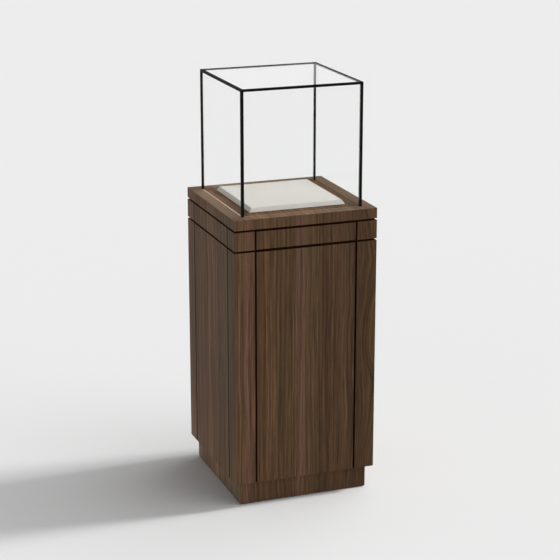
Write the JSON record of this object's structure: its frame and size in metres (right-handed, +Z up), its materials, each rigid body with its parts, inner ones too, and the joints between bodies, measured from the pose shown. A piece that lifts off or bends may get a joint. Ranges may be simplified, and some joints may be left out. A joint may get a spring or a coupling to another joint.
{
  "type": "display plinth",
  "caption": "Square walnut-veneered display plinth with shadow gaps, recessed kick base, push-open door and shallow drawer, and a lift-off framed glass hood over a white riser.",
  "frame": {"origin": "on the floor under the middle of the square plan, at the underside of the levelling feet", "axes": "+Z up, +X along the front from left to right as seen from the front, +Y from front to back, so the door and the drawer face -Y"},
  "size_m": [0.45, 0.45, 1.277],
  "materials": {
    "walnut": "matt clear-lacquered dark walnut veneer, grain upright on the faces and from front to back on the cap",
    "kick_walnut": "matt clear-lacquered dark walnut veneer, a plainer leaf than on the case, grain upright",
    "black_board": "matt black-stained board edge",
    "birch": "clear-sealed birch plywood",
    "zinc_steel": "zinc-plated",
    "black_plastic": "fine-textured moulding",
    "black_frame": "matt black powder coat",
    "clear_glass": "clear, low-reflection coated, ground edges",
    "white_paint": "smooth matt off-white lacquer on board"
  },
  "bodies": {
    "case": {"kick_front": "kick_walnut", "kick_right": "kick_walnut", "kick_back": "kick_walnut", "kick_left": "kick_walnut", "base_board": "birch", "corner_post_front_left": "walnut", "corner_post_front_right": "walnut", "corner_post_back_right": "walnut", "corner_post_back_left": "walnut", "case_panel_right": "walnut", "case_panel_back": "walnut", "case_panel_left": "walnut", "door_bottom_pivot": "black_frame", "door_top_pivot": "zinc_steel", "door_latch_housing": "black_plastic", "divider_board": "black_board", "band_corner_front_left": "walnut", "band_corner_front_right": "walnut", "band_corner_back_right": "walnut", "band_corner_back_left": "walnut", "band_panel_right": "walnut", "band_panel_back": "walnut", "band_panel_left": "walnut", "drawer_runner_left": "birch", "drawer_runner_right": "birch", "drawer_stop": "birch", "drawer_latch_housing": "black_plastic", "sub_top": "black_board", "cap": "walnut", "hood_pin_front_left": "zinc_steel", "hood_pin_front_right": "zinc_steel", "hood_pin_back_right": "zinc_steel", "hood_pin_back_left": "zinc_steel"},
    "door": {"access_door": "walnut"},
    "drawer": {"drawer_front": "walnut", "drawer_side_left": "birch", "drawer_side_right": "birch", "drawer_back": "birch", "drawer_bottom": "birch"},
    "door_plunger": {"door_latch_plunger": "black_plastic"},
    "drawer_plunger": {"drawer_latch_plunger": "black_plastic"},
    "hood": {"hood_post_front_left": "black_frame", "hood_post_front_right": "black_frame", "hood_post_back_right": "black_frame", "hood_post_back_left": "black_frame", "hood_rail_front": "black_frame", "hood_rail_right": "black_frame", "hood_rail_back": "black_frame", "hood_rail_left": "black_frame", "pane_front": "clear_glass", "pane_right": "clear_glass", "pane_back": "clear_glass", "pane_left": "clear_glass", "pane_top": "clear_glass"},
    "riser": {"riser": "white_paint"},
    "foot_front_left": {"levelling_foot_front_left": "zinc_steel"},
    "foot_front_right": {"levelling_foot_front_right": "zinc_steel"},
    "foot_back_right": {"levelling_foot_back_right": "zinc_steel"},
    "foot_back_left": {"levelling_foot_back_left": "zinc_steel"}
  },
  "joints": [
    {"name": "door_hinge", "type": "hinge", "parent": "case", "child": "door", "pos_m": [0.1425, -0.212, 0.4395], "axis": [0, 0, 1], "range_deg": [0, 105]},
    {"name": "drawer_slide", "type": "slide", "parent": "case", "child": "drawer", "axis": [0, -1, 0], "range_m": [0, 0.28]},
    {"name": "door_latch_press", "type": "slide", "parent": "case", "child": "door_plunger", "axis": [0, 1, 0], "range_m": [0, 0.003], "stiffness_N_per_m": 800, "springref_m": -0.002},
    {"name": "drawer_latch_press", "type": "slide", "parent": "case", "child": "drawer_plunger", "axis": [0, 1, 0], "range_m": [0, 0.003], "stiffness_N_per_m": 800, "springref_m": -0.002},
    {"name": "hood_lift", "type": "slide", "parent": "case", "child": "hood", "axis": [0, 0, 1], "range_m": [0, 0.4]},
    {"name": "riser_lift", "type": "slide", "parent": "case", "child": "riser", "axis": [0, 0, 1], "range_m": [0, 0.3]},
    {"name": "foot_turn_front_left", "type": "hinge", "parent": "case", "child": "foot_front_left", "pos_m": [-0.165, -0.165, 0], "axis": [0, 0, 1], "continuous": true},
    {"name": "foot_turn_front_right", "type": "hinge", "parent": "case", "child": "foot_front_right", "pos_m": [0.165, -0.165, 0], "axis": [0, 0, 1], "continuous": true},
    {"name": "foot_turn_back_right", "type": "hinge", "parent": "case", "child": "foot_back_right", "pos_m": [0.165, 0.165, 0], "axis": [0, 0, 1], "continuous": true},
    {"name": "foot_turn_back_left", "type": "hinge", "parent": "case", "child": "foot_back_left", "pos_m": [-0.165, 0.165, 0], "axis": [0, 0, 1], "continuous": true}
  ]
}
